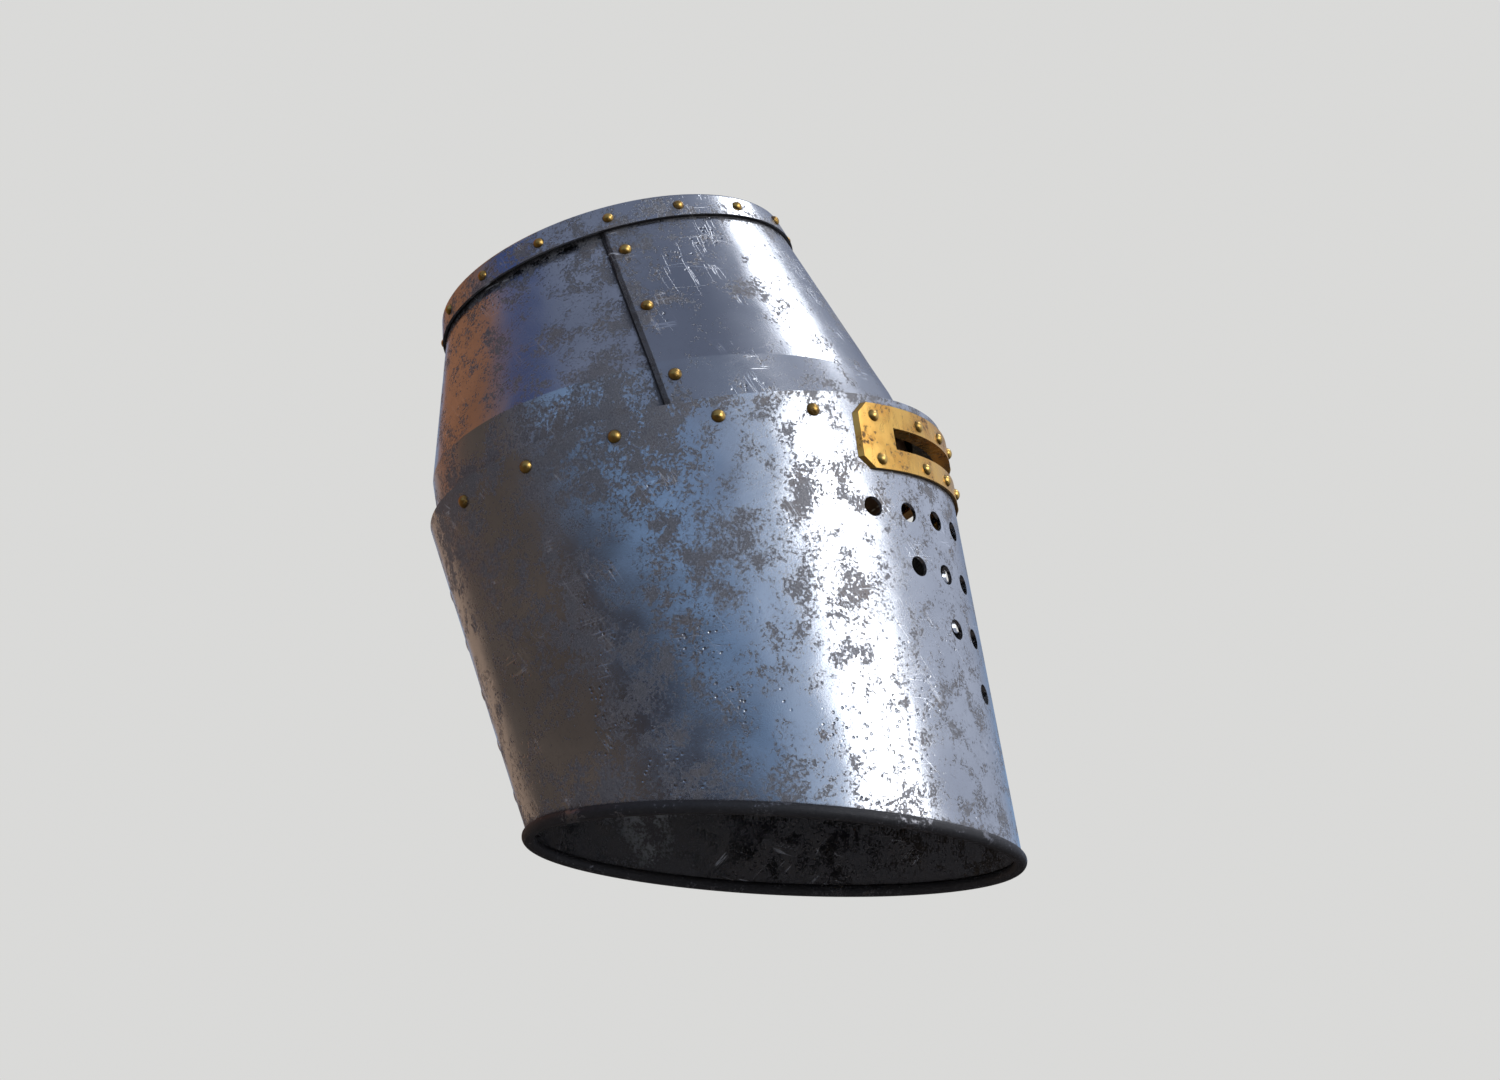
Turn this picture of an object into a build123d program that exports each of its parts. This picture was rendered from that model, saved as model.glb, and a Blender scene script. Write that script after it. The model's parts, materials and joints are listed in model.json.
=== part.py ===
from build123d import *
import math
import os

# Great helm, millimetres. +Z up, the face looks along -Y, the wearer's right side is -X.
# The helm rests on its rolled rim at z = 0, and the origin is under the middle of its box.

# ---------------------------------------------------------------- driving dimensions
PLATE = 2.0  # steel plate thickness
GAP = 0.2  # slack between two plates that lie on each other

# Every wall runs between ellipses. An ellipse lies in a frame that leans back about X.
RIM_Y, RIM_Z, RIM_LEAN = -37.165, 5.0, 0.0
RIM_A, RIM_B = 103.8, 125.5
LAP_Y, LAP_Z, LAP_LEAN = 19.635, 199.0, 13.5
LAP_A, LAP_B = 114.1, 140.0
CROWN_Y, CROWN_Z, CROWN_LEAN = 65.835, 311.6, 20.0
CROWN_A, CROWN_B = 82.4, 102.2

CROWN_BAND = 14.0  # height of the crown plate's turned-down edge
CROWN_TAPER = 3.0  # how much narrower the band is at its top
CROWN_PLATE = 1.8
CROWN_RISE = 4.0  # the top plate's dome
CROWN_FOLD = 2.2  # outside radius of the fold between top and band

SKULL_A = 111.0  # half width of the skull plates where they enter the lower wall
CREASE_H = 25.0  # the skull's cylindrical foot ends in a crease this far above the lap
CREASE_SHIFT, CREASE_B = 8.5, 127.0
NECK_SHIFT, NECK_B = 4.65, 130.6  # at the height of the lap
FOOT_REAR = 135.3  # the foot's reach to the rear of the lap's middle
SHELF_H = -4.0  # the front plate turns out here to meet the face
FOOT_H = -15.6
SKULL_LIP = 1.0  # the skull's top edge stays this far under the crown plate
SEAM_OVERLAP = 16.0
SEAM_BEVEL = 2.0
SEAM_SLANT = 1.2  # how steeply the bevel leans outwards

SIGHT_PLATE = 1.8
SIGHT_TOP, SIGHT_BOTTOM = -5.3, -41.2
SIGHT_HALF = 86.9
SIGHT_CORNER_X, SIGHT_CORNER_Z = 3.6, 6.0
SLIT_TOP, SLIT_BOTTOM = -17.5, -29.5
SLIT_HALF = 72.6
COLLAR = 1.6  # wall of the brass collar that lines the slit
COLLAR_DEPTH = 6.0  # how far the collar reaches in from the lower wall's outer face

BREATH_R = 5.3
BREATH_COLUMNS = [17.0, 27.5, 38.4, 49.2]
BREATH_TOP_S, BREATH_STEP_S = 0.722, 0.1277

ROLL_R, ROLL_BORE, WIRE_R = 3.4, 1.75, 1.6
LAND = 0.3  # flat filed along the underside of the roll

RIVET_SHANK = 1.9
RIVET_SWELL = 0.06  # a driven rivet fills its hole tightly
RIVET_HOLE = RIVET_SHANK - RIVET_SWELL
TAIL_R, TAIL_H = 3.0, 1.3
# Heads: radius and height.
CROWN_HEAD, SEAM_HEAD, SIGHT_HEAD, LAP_HEAD = (3.0, 2.2), (3.4, 2.6), (3.2, 2.2), (3.5, 2.6)
FLUSH_HEAD = (3.4, 0.5)
CROWN_RIVET_DEGREES = [0, 19, 41.5, 64, 86.5, 109, 131.5, 154, 180]
LAP_RIVET_DEGREES = [59.5, 80.1, 101.6, 122.6, 143.7]
LAP_RIVET_DROP = 10.3
SEAM_RIVETS_ON_SKULL = [(0.83, 84.6), (0.40, 84.1)]  # share of the way up, and degrees
SEAM_RIVET_ON_FOOT = (0.68, 83.5)
SIGHT_RIVET_DEGREES = [5.5, 17.0, 28.6, 44.5]
SIGHT_UPPER_DROP, SIGHT_LOWER_DROP = 12.2, 36.0

REAR_GAP = 0.5  # butt seam of the lower wall, at the rear
REAR_STRAP_LOW, REAR_STRAP_TOP_H, REAR_STRAP_HALF = 9.0, -18.0, 15.0
REAR_RIVET_ROWS, REAR_RIVET_DEGREES = 5, 4.2
REAR_RIVET_LOW_S, REAR_RIVET_STEP_S = 0.12, 0.165

BAND_A, BAND_B, BAND_SHIFT, BAND_T = 104.6, 125.4, 5.0, 2.5
BAND_LOW, BAND_HIGH = -14.5, 8.0

ROVE_R, ROVE_T = 5.5, 1.0

# The quilted dome's rings: height over the lap, shift to the rear, half width, half length.
PAD_OUTSIDE = [(-2, 5.0, 101.0, 121.2), (45, 10, 92, 110), (80, 14, 68, 84), (98, 16, 34, 44)]
PAD_INSIDE = [(-2, 5.0, 92.0, 112.2), (43, 10, 82.5, 100.5), (72, 14, 60, 76), (98, 16, 30, 40)]
PAD_COUNT = 8
PAD_SPLIT = 3.0  # space between two neighbouring pads
PAD_NAMES = ["front", "front_right", "right", "rear_right", "rear", "rear_left", "left", "front_left"]
LACE_R, LACE_H, LACE_SHIFT, LACE_A, LACE_B = 1.75, 84.0, 15.0, 48.0, 60.0
TONGUE_HALF = 1.8

BAR_R = 1.6
BAR_CLEARANCE = 0.08
STRAP_WIDTH, STRAP_T = 18.0, 2.4
HANGER_DEGREES = 80.1
HANGER_DROP = 24.0  # from the rivet down to the hanger's bar
HANGER_T = 1.6
HANGER_SLACK, HANGER_WALL, HANGER_TOP, HANGER_WINDOW = 0.6, 3.0, 4.6, 6.0
RIGHT_STRAP, LEFT_STRAP = 60.0, 86.0  # hanger bar to buckle bar, and hanger bar to tip
FOLD = 22.0  # length of strap that is folded back and stitched
BORE_EDGE = 0.4  # leather stands this far from the bar where the fold closes
TIP_HOLE_R, TIP_HOLE_FIRST, TIP_HOLE_STEP, TIP_HOLES = 1.8, 14.0, 9.0, 5
KEEPER_T, KEEPER_HEIGHT, KEEPER_UP = 1.6, 7.0, 14.0
BUCKLE_LENGTH, BUCKLE_HALF, BUCKLE_T = 20.0, 14.0, 2.6
BUCKLE_WALL, BUCKLE_CORNER = 3.0, 5.0
TONGUE_WALL, TONGUE_REST, TONGUE_SLACK, TONGUE_SLOT = 1.3, 0.15, 0.6, 8.0
FAR = 400.0  # longer than anything on the helm


# ---------------------------------------------------------------- frames, rings and walls
def leaning(y, z, lean, height=0.0, shift=0.0):
    """Plane in a frame that leans back: local x to the rear, local y to the wearer's right."""
    c, s = math.cos(math.radians(lean)), math.sin(math.radians(lean))
    origin = Vector(0, y + height * s + shift * c, z + height * c - shift * s)
    return Plane(origin=origin, x_dir=(0, c, -s), z_dir=(0, s, c))


def lap_plane(height=0.0, shift=0.0):
    return leaning(LAP_Y, LAP_Z, LAP_LEAN, height, shift)


def crown_plane(height=0.0, shift=0.0):
    return leaning(CROWN_Y, CROWN_Z, CROWN_LEAN, height, shift)


def rim_ring(inset=0.0):
    return leaning(RIM_Y, RIM_Z, RIM_LEAN), RIM_A - inset, RIM_B - inset


def lap_ring(inset=0.0):
    return lap_plane(), LAP_A - inset, LAP_B - inset


def crown_ring(height, inset=0.0):
    narrower = CROWN_TAPER * height / CROWN_BAND + inset
    return crown_plane(height), CROWN_A - narrower, CROWN_B - narrower


def ring_wire(ring):
    plane, a, b = ring
    return Wire([Edge.make_ellipse(b, a, plane)])


def ring_point(ring, degrees):
    """Point of a ring, counted from the front centre towards the wearer's right."""
    plane, a, b = ring
    t = math.radians(degrees)
    return plane.from_local_coords(Vector(-b * math.cos(t), a * math.sin(t), 0))


def body_of(rings):
    """Closed solid whose side runs straight from ring to ring."""
    return Solid.make_loft([ring_wire(ring) for ring in rings], ruled=True)


def ring_between(low, high, share):
    """Ring at a share of the way from one ring to another, which leans about the same axis."""
    centre = low[0].origin * (1 - share) + high[0].origin * share
    half_length = low[0].x_dir * (low[2] * (1 - share)) + high[0].x_dir * (high[2] * share)
    lean = half_length.normalized()
    plane = Plane(origin=centre, x_dir=lean, z_dir=Vector(1, 0, 0).cross(lean) * -1)
    if plane.z_dir.Z < 0:
        plane = Plane(origin=centre, x_dir=lean, z_dir=plane.z_dir * -1)
    return plane, low[1] * (1 - share) + high[1] * share, half_length.length


def wall_layer(inner_lift, outer_lift, foot=0.0):
    """Layer along the lower wall, between two distances from its outer face."""
    outer = [rim_ring(-outer_lift), lap_ring(-outer_lift)]
    inner = [rim_ring(-inner_lift), lap_ring(-inner_lift)]
    outside = body_of([ring_between(*outer, foot), outer[1]])
    return outside - body_of([ring_between(*inner, foot), inner[1]])


def wall_place(low, high, share, degrees, lift=0.0):
    """Plane on a wall between two rings, z outwards, at a share of the way up."""
    def at(d):
        return ring_point(low, d) * (1 - share) + ring_point(high, d) * share
    along = at(degrees + 0.5) - at(degrees - 0.5)
    up = ring_point(high, degrees) - ring_point(low, degrees)
    outward = along.cross(up).normalized()
    point = at(degrees)
    centre = low[0].origin * (1 - share) + high[0].origin * share
    if outward.dot(point - centre) < 0:
        outward = outward * -1
    return Plane(origin=point + outward * lift, x_dir=up.normalized(), z_dir=outward)


def drop_share(low, high, degrees, drop):
    """Share of the way up a wall that lies a given distance below its top."""
    return 1 - drop / (ring_point(high, degrees) - ring_point(low, degrees)).length


def both_sides(degrees):
    """Angles on the right and left, with the centre ones once."""
    mirrored = [-d for d in degrees if d not in (0, 180)]
    return list(degrees) + mirrored


def slab(half, low, high, y_from, y_to, corner_x=0.0, corner_z=0.0):
    """Block in the lap frame, chamfered at its four corners, that runs from front to rear."""
    points = [
        (-half, low + corner_z), (-half + corner_x, low),
        (half - corner_x, low), (half, low + corner_z),
        (half, high - corner_z), (half - corner_x, high),
        (-half + corner_x, high), (-half, high - corner_z),
    ]
    if corner_x == 0:
        points = [(-half, low), (half, low), (half, high), (-half, high)]
    lap = lap_plane()
    start = lap.from_local_coords(Vector(y_from, 0, 0))
    face_plane = Plane(origin=start, x_dir=lap.y_dir * -1, z_dir=lap.x_dir)
    outline = Polyline(*[face_plane.from_local_coords(Vector(x, -z, 0)) for x, z in points], close=True)
    return Solid.extrude(Face(Wire(outline.edges())), lap.x_dir * (y_to - y_from))


def deeper(place, depth):
    """The same place, moved in along its own axis."""
    return Plane(place.origin - place.z_dir * depth, x_dir=place.x_dir, z_dir=place.z_dir)


def hole_at(place, radius, outside, inside):
    return Solid.make_cylinder(radius, outside + inside, deeper(place, inside))


# ---------------------------------------------------------------- rivets
def rivet(place, grip, head):
    """Domed head on the plane, a shank through the grip and a peened tail inside."""
    head_r, head_h = head
    dome_r = (head_r**2 + head_h**2) / (2 * head_h)
    half_way = math.asin(head_r / dome_r) / 2
    crown = (dome_r * math.sin(half_way), head_h - dome_r * (1 - math.cos(half_way)))
    end = -grip - TAIL_H
    line = Polyline(
        (0, head_h), (0, end), (TAIL_R / 2, end), (TAIL_R, -grip),
        (RIVET_SHANK, -grip), (RIVET_SHANK, 0), (head_r, 0),
    )
    dome = ThreePointArc((head_r, 0), crown, (0, head_h))
    profile = Face(Wire(line.edges() + dome.edges())).rotate(Axis.X, 90)
    return Location(place) * Solid.revolve(profile, 360, Axis.Z)


def group(shapes):
    return Compound(children=list(shapes))


# ---------------------------------------------------------------- steel shell
def skull_rings(side_inset, end_inset):
    """Rings of a skull plate from under the crown down to its foot, moved in at its sides and ends."""
    def ring(height, shift, b):
        return lap_plane(height, shift), SKULL_A - side_inset, b - end_inset
    under = CROWN_PLATE + GAP
    top = crown_ring(CROWN_BAND - CROWN_PLATE - SKULL_LIP, under)
    neck = crown_ring(0.0, under)
    foot_front = LAP_B - PLATE - 3 * GAP
    foot_b, foot_shift = (foot_front + FOOT_REAR) / 2, (FOOT_REAR - foot_front) / 2
    underside = min(end_inset, PLATE)
    return [
        (top[0], top[1] - side_inset, top[2] - end_inset),
        (neck[0], neck[1] - side_inset, neck[2] - end_inset),
        ring(CREASE_H, CREASE_SHIFT, CREASE_B),
        ring(-underside, NECK_SHIFT, NECK_B),
        ring(SHELF_H - underside, foot_shift, foot_b),
        ring(FOOT_H, foot_shift, foot_b),
    ]


def skull_wall(side_inset):
    outer = body_of(skull_rings(side_inset, 0.0))
    return outer - body_of(skull_rings(side_inset + PLATE, PLATE))


def seam_plane(forward=0.0):
    """Plane of the skull's side seams, z to the rear."""
    lap, crown = lap_plane().origin, crown_plane().origin
    rise = (crown - lap).normalized()
    rear = rise.cross(Vector(1, 0, 0)).normalized()
    if rear.Y < 0:
        rear = rear * -1
    return Plane(origin=lap - rear * forward, x_dir=(1, 0, 0), z_dir=rear)


def behind(plane):
    return Solid.extrude(Face.make_rect(2 * FAR, 2 * FAR, plane), plane.z_dir * FAR)


def seam_bevel(side):
    """Wedge that bevels the front plate's edge on one side of the skull."""
    rings = skull_rings(0.0, 0.0)
    low = ring_point(rings[2], 90 * side)
    high = ring_point(rings[1], 90 * side)
    seam = seam_plane()
    rise = (high - low).normalized()
    outward = Vector(-side, 0, 0)
    slant = (outward * SEAM_SLANT + seam.z_dir).normalized()
    slant = (slant - rise * slant.dot(rise)).normalized()
    start = low - outward * (SEAM_BEVEL - GAP)
    return behind(Plane(origin=start, x_dir=rise, z_dir=slant))


def lap_rivet_places(degrees):
    low, high = rim_ring(), lap_ring()
    angles = both_sides(degrees)
    return [wall_place(low, high, drop_share(low, high, d, LAP_RIVET_DROP), d) for d in angles]


def sight_rivet_places(drop, lift=0.0):
    low, high = rim_ring(), lap_ring()
    angles = both_sides(SIGHT_RIVET_DEGREES)
    return [wall_place(low, high, drop_share(low, high, d, drop), d, lift) for d in angles]


def crown_rivet_places():
    low, high = crown_ring(0.0), crown_ring(CROWN_BAND)
    return [wall_place(low, high, 0.5, d) for d in both_sides(CROWN_RIVET_DEGREES)]


def seam_rivet_places(side):
    rings = skull_rings(0.0, 0.0)
    crown_low, crease, foot = rings[1], rings[2], rings[3]
    places = [wall_place(crease, crown_low, share, d * side) for share, d in SEAM_RIVETS_ON_SKULL]
    share, degrees = SEAM_RIVET_ON_FOOT
    return places + [wall_place(foot, crease, share, degrees * side)]


def rivet_holes(places):
    return [hole_at(place, RIVET_HOLE, 8.0, 16.0) for place in places]


def crown_dome(inset):
    """Ball whose top gives the crown plate its slight dome."""
    plane = crown_plane(CROWN_BAND)
    radius = (CROWN_B * CROWN_B + CROWN_RISE * CROWN_RISE) / (2 * CROWN_RISE)
    centre = plane.origin + plane.z_dir * (CROWN_RISE - radius)
    return Solid.make_sphere(radius - inset, Plane(centre, z_dir=plane.z_dir))


def crown_plate():
    above = CROWN_BAND + 2 * CROWN_RISE
    outer = (body_of([crown_ring(0.0), crown_ring(above)]) & crown_dome(0.0)).solids()[0]
    round_edges = [edge for edge in outer.edges() if edge.length > 3 * CROWN_B]
    top_edge = max(round_edges, key=lambda edge: crown_plane().to_local_coords(edge.center()).Z)
    outer = outer.fillet(CROWN_FOLD, [top_edge])
    inside = body_of([crown_ring(-3.0, CROWN_PLATE), crown_ring(above, CROWN_PLATE)])
    inner = (inside & crown_dome(CROWN_PLATE)).solids()[0]
    return (outer - inner).cut(*rivet_holes(crown_rivet_places())).solids()[0]


def skull_front_plate():
    wall = skull_wall(0.0) - behind(seam_plane())
    wall = wall - seam_bevel(1) - seam_bevel(-1)
    holes = rivet_holes(crown_rivet_places())
    holes += rivet_holes(seam_rivet_places(1) + seam_rivet_places(-1))
    holes += rivet_holes(lap_rivet_places(LAP_RIVET_DEGREES))
    holes += rivet_holes(sight_rivet_places(SIGHT_UPPER_DROP))
    return wall.cut(*holes).solids()[0]


def skull_rear_plate():
    wall = skull_wall(PLATE + 3 * GAP) & behind(seam_plane(SEAM_OVERLAP))
    holes = rivet_holes(crown_rivet_places())
    holes += rivet_holes(seam_rivet_places(1) + seam_rivet_places(-1))
    holes += rivet_holes(lap_rivet_places(LAP_RIVET_DEGREES))
    return wall.solids()[0].cut(*holes).solids()[0]


def breath_places():
    """A triangle of holes on each side of the face: four, three, two and one."""
    low, high = rim_ring(), lap_ring()
    places = []
    for row in range(len(BREATH_COLUMNS)):
        for degrees in BREATH_COLUMNS[: len(BREATH_COLUMNS) - row]:
            share = BREATH_TOP_S - BREATH_STEP_S * row
            places += [wall_place(low, high, share, d) for d in (degrees, -degrees)]
    return places


def rear_rivet_places():
    low, high = rim_ring(), lap_ring()
    places = []
    for row in range(REAR_RIVET_ROWS):
        share = REAR_RIVET_LOW_S + REAR_RIVET_STEP_S * row
        places += [wall_place(low, high, share, 180 + d) for d in (REAR_RIVET_DEGREES, -REAR_RIVET_DEGREES)]
    return places


def lower_wall_plate():
    wall = wall_layer(-PLATE, 0.0)
    rear_gap = Pos(0, FAR / 2, 0) * Box(REAR_GAP, FAR, 2 * FAR)
    slack = COLLAR + GAP
    opening = slab(SLIT_HALF + slack, SLIT_BOTTOM - slack, SLIT_TOP + slack, -170, -60)
    holes = [hole_at(place, BREATH_R, 6.0, 8.0) for place in breath_places()]
    holes += rivet_holes(lap_rivet_places(LAP_RIVET_DEGREES))
    holes += rivet_holes(sight_rivet_places(SIGHT_UPPER_DROP) + sight_rivet_places(SIGHT_LOWER_DROP))
    holes += rivet_holes(rear_rivet_places())
    return wall.cut(opening, rear_gap, *holes).solids()[0]


def rear_seam_strap():
    inset = PLATE + GAP
    band = wall_layer(-inset - PLATE, -inset)
    keep = Pos(0, FAR / 2, REAR_STRAP_LOW + FAR / 2) * Box(2 * REAR_STRAP_HALF, FAR, FAR)
    strap = (band & keep) - slab(FAR / 2, REAR_STRAP_TOP_H, 60, -FAR, FAR)
    return strap.solids()[0].cut(*rivet_holes(rear_rivet_places())).solids()[0]


# ---------------------------------------------------------------- rolled rim
def rim_path(height):
    middle = PLATE / 2
    return ring_wire((leaning(RIM_Y, height, RIM_LEAN), RIM_A - middle, RIM_B - middle))


def pipe_round_rim(radius):
    path = rim_path(ROLL_R - LAND)
    start = path.edges()[0] @ 0
    tangent = path.edges()[0] % 0
    section = Wire([Edge.make_circle(radius, Plane(start, z_dir=tangent))])
    return Solid.sweep(section, path=path)


def rim_binding():
    roll = pipe_round_rim(ROLL_R) - pipe_round_rim(ROLL_BORE)
    slot = wall_layer(-PLATE - GAP, GAP, -0.005)
    floor = Pos(0, 0, -FAR / 2) * Box(2 * FAR, 2 * FAR, FAR)
    return (roll - slot - floor).solids()[0]


def rim_wire():
    return pipe_round_rim(WIRE_R)


# ---------------------------------------------------------------- brass sight plate
def sight_plate():
    front, rear = -190, -60
    outline = slab(SIGHT_HALF, SIGHT_BOTTOM, SIGHT_TOP, front, rear, SIGHT_CORNER_X, SIGHT_CORNER_Z)
    plate = wall_layer(GAP / 2, GAP / 2 + SIGHT_PLATE) & outline
    collar_outline = slab(SLIT_HALF + COLLAR, SLIT_BOTTOM - COLLAR, SLIT_TOP + COLLAR, front, rear)
    collar = wall_layer(-COLLAR_DEPTH, GAP / 2 + SIGHT_PLATE) & collar_outline
    slit = slab(SLIT_HALF, SLIT_BOTTOM, SLIT_TOP, front - 10, rear + 10)
    body = (plate + collar) - slit
    holes = rivet_holes(sight_rivet_places(SIGHT_UPPER_DROP) + sight_rivet_places(SIGHT_LOWER_DROP))
    return body.solids()[0].cut(*holes).solids()[0]


# ---------------------------------------------------------------- rivets and roves
def crown_rivets():
    low, high = crown_ring(0.0), crown_ring(CROWN_BAND)
    rivets = []
    for degrees in both_sides(CROWN_RIVET_DEGREES):
        behind_front = abs(degrees) > 78
        extra = (PLATE + 3 * GAP) * math.sin(math.radians(degrees)) ** 2 if behind_front else 0.0
        grip = CROWN_PLATE + 2 * GAP + PLATE + extra
        rivets.append(rivet(wall_place(low, high, 0.5, degrees), grip, CROWN_HEAD))
    return group(rivets)


def seam_rivets(side):
    return group([rivet(place, 2 * PLATE + 4 * GAP, SEAM_HEAD) for place in seam_rivet_places(side)])


def rear_seam_rivets():
    return group([rivet(place, 2 * PLATE + 2 * GAP, FLUSH_HEAD) for place in rear_rivet_places()])


def sight_rivets(drop, backing):
    lift = SIGHT_PLATE + GAP / 2
    grip = lift + PLATE + backing
    return group([rivet(place, grip, SIGHT_HEAD) for place in sight_rivet_places(drop, lift)])


def depth_to_band(place):
    """Distance along a rivet from the lower wall's face to the inside of the liner band."""
    lap = lap_plane(0.0, BAND_SHIFT)
    start = lap.to_local_coords(place.origin)
    way = lap.to_local_coords(place.origin - place.z_dir) - start
    a, b = BAND_A - BAND_T, BAND_B - BAND_T
    square = (way.X / b) ** 2 + (way.Y / a) ** 2
    cross = start.X * way.X / b**2 + start.Y * way.Y / a**2
    rest = (start.X / b) ** 2 + (start.Y / a) ** 2 - 1
    return (-cross - math.sqrt(cross**2 - square * rest)) / square


def rove_gap(place):
    """Room for a rove whose axis leans against the band."""
    return GAP + ROVE_R * abs(place.z_dir.dot(lap_plane().z_dir))


def lap_rivets():
    rivets = []
    for place, degrees in zip(lap_rivet_places(LAP_RIVET_DEGREES), both_sides(LAP_RIVET_DEGREES)):
        if abs(degrees) < HANGER_DEGREES:
            grip = 2 * PLATE + 4 * GAP
        elif abs(degrees) == HANGER_DEGREES:
            grip = depth_to_band(place) + HANGER_T + 7 * GAP
        else:
            grip = depth_to_band(place) + rove_gap(place) + ROVE_T + GAP / 2
        rivets.append(rivet(place, grip, LAP_HEAD))
    return group(rivets)


def liner_roves():
    """Washers under the peened tails of the lap rivets that hold the liner band."""
    roves = []
    for place in lap_rivet_places([d for d in LAP_RIVET_DEGREES if d > HANGER_DEGREES]):
        seat = deeper(place, depth_to_band(place) + rove_gap(place) + ROVE_T)
        washer = Solid.make_cylinder(ROVE_R, ROVE_T, seat)
        roves.append(washer - hole_at(seat, RIVET_HOLE, 2 * ROVE_T, ROVE_T))
    return group([rove.solids()[0] for rove in roves])


# ---------------------------------------------------------------- liner
def liner_band():
    def ring(height, inset):
        return lap_plane(height, BAND_SHIFT), BAND_A - inset, BAND_B - inset
    outer = body_of([ring(BAND_LOW, 0.0), ring(BAND_HIGH, 0.0)])
    inner = body_of([ring(BAND_LOW, BAND_T), ring(BAND_HIGH, BAND_T)])
    places = lap_rivet_places([d for d in LAP_RIVET_DEGREES if d >= HANGER_DEGREES])
    return (outer - inner).solids()[0].cut(*rivet_holes(places)).solids()[0]


def dome(profile):
    return body_of([(lap_plane(height, shift), a, b) for height, shift, a, b in profile])


def lace_ring():
    return lap_plane(LACE_H, LACE_SHIFT), LACE_A, LACE_B


def lace_pipe(radius):
    path = ring_wire(lace_ring())
    start, tangent = path.edges()[0] @ 0, path.edges()[0] % 0
    return Solid.sweep(Wire([Edge.make_circle(radius, Plane(start, z_dir=tangent))]), path=path)


def liner_pads():
    """Quilted lobes that rise from the band and are drawn together by a lace."""
    shell = dome(PAD_OUTSIDE) - dome(PAD_INSIDE) - lace_pipe(LACE_R + GAP)
    middle = lap_plane(0.0, LACE_SHIFT)
    splits = []
    for index in range(PAD_COUNT // 2):
        turn = (index + 0.5) * 360 / PAD_COUNT
        split = Location(middle) * Rot(0, 0, turn) * Box(FAR, PAD_SPLIT, FAR)
        splits.append(split.solids()[0])

    def bearing(pad):
        """Angle from just before the front pad, towards the wearer's right."""
        spot = middle.to_local_coords(pad.center())
        return (math.degrees(math.atan2(spot.Y, -spot.X)) + 10) % 360
    return sorted(shell.cut(*splits).solids(), key=bearing)


def liner_lace():
    return lace_pipe(LACE_R)


# ---------------------------------------------------------------- chin straps
def hanger_frame(side):
    """Frame at the hanger's rivet: x along the bar, y up, z towards the middle of the helm."""
    place = lap_rivet_places([HANGER_DEGREES])[0 if side > 0 else 1]
    spot = place.origin - place.z_dir * depth_to_band(place)
    inward = Vector(-place.z_dir.X, -place.z_dir.Y, 0).normalized()
    return Plane(origin=spot, x_dir=Vector(0, 0, 1).cross(inward), z_dir=inward)


def bar_centre():
    """Middle of the hanger's bar in the hanger's frame: y and z."""
    return -HANGER_DROP, 6 * GAP + HANGER_T / 2


def buckle_bar_y():
    return -HANGER_DROP - RIGHT_STRAP


def block(x_half, y_low, y_high, z_low, z_high, x_middle=0.0):
    size = Box(2 * x_half, y_high - y_low, z_high - z_low)
    return Pos(x_middle, (y_low + y_high) / 2, (z_low + z_high) / 2) * size


def rod(radius, x_half, y, z):
    return Pos(0, y, z) * Rot(0, 90, 0) * Cylinder(radius, 2 * x_half)


def placed(frame, shape):
    return (Location(frame) * shape).solids()[0]


def strap_hanger(side):
    half, wide = STRAP_WIDTH / 2 + HANGER_SLACK, STRAP_WIDTH / 2 + HANGER_WALL
    y, z = bar_centre()
    low_z, high_z = z - HANGER_T / 2, z + HANGER_T / 2
    tab = block(wide, y, HANGER_TOP, low_z, high_z)
    window = block(half, y - HANGER_WINDOW, y + HANGER_WINDOW, low_z - 1, high_z + 1)
    hole = Pos(0, 0, z) * Cylinder(RIVET_HOLE, 10)
    return placed(hanger_frame(side), tab - window - hole + rod(BAR_R, wide, y, z))


def strap_blank(length, tip):
    """Leather strap, folded round the hanger's bar, that hangs straight down."""
    half = STRAP_WIDTH / 2
    y, z = bar_centre()
    bore = BAR_R + BAR_CLEARANCE
    eye = rod(bore + STRAP_T, half, y, z) - rod(bore, half + 1, y, z)
    neck_z = bore / 2 + STRAP_T / 2
    fold = block(half, y - FOLD, y - bore - BORE_EDGE, z - STRAP_T, z + STRAP_T)
    band = block(half, y - length + tip, y - bore - BORE_EDGE, z - STRAP_T / 2, z + STRAP_T / 2)
    neck = block(half, y - bore - STRAP_T, y - bore - GAP, z - neck_z, z + neck_z)
    return eye + neck + fold + band - rod(bore, half + 1, y, z)


def chin_strap_right():
    half = STRAP_WIDTH / 2
    y, z = buckle_bar_y(), bar_centre()[1]
    bore = BAR_R + BAR_CLEARANCE
    strap = strap_blank(RIGHT_STRAP, bore + BORE_EDGE)
    eye = rod(bore + STRAP_T, half, y, z)
    fold = block(half, y + bore + BORE_EDGE, y + FOLD, z - STRAP_T, z + STRAP_T)
    slot = block(TONGUE_HALF + TONGUE_SLACK, y - 6, y + TONGUE_SLOT, z - 6, z + 6)
    return placed(hanger_frame(1), strap + eye + fold - slot - rod(bore, half + 1, y, z))


def chin_strap_left():
    y, z = bar_centre()
    half, tip = STRAP_WIDTH / 2, STRAP_WIDTH / 2
    end = y - LEFT_STRAP
    strap = strap_blank(LEFT_STRAP, tip)
    strap = strap + Pos(0, end + tip, z) * Cylinder(half, STRAP_T)
    for index in range(TIP_HOLES):
        hole_y = end + TIP_HOLE_FIRST + TIP_HOLE_STEP * index
        strap = strap - Pos(0, hole_y, z) * Cylinder(TIP_HOLE_R, 12)
    return placed(hanger_frame(-1), strap)


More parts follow.
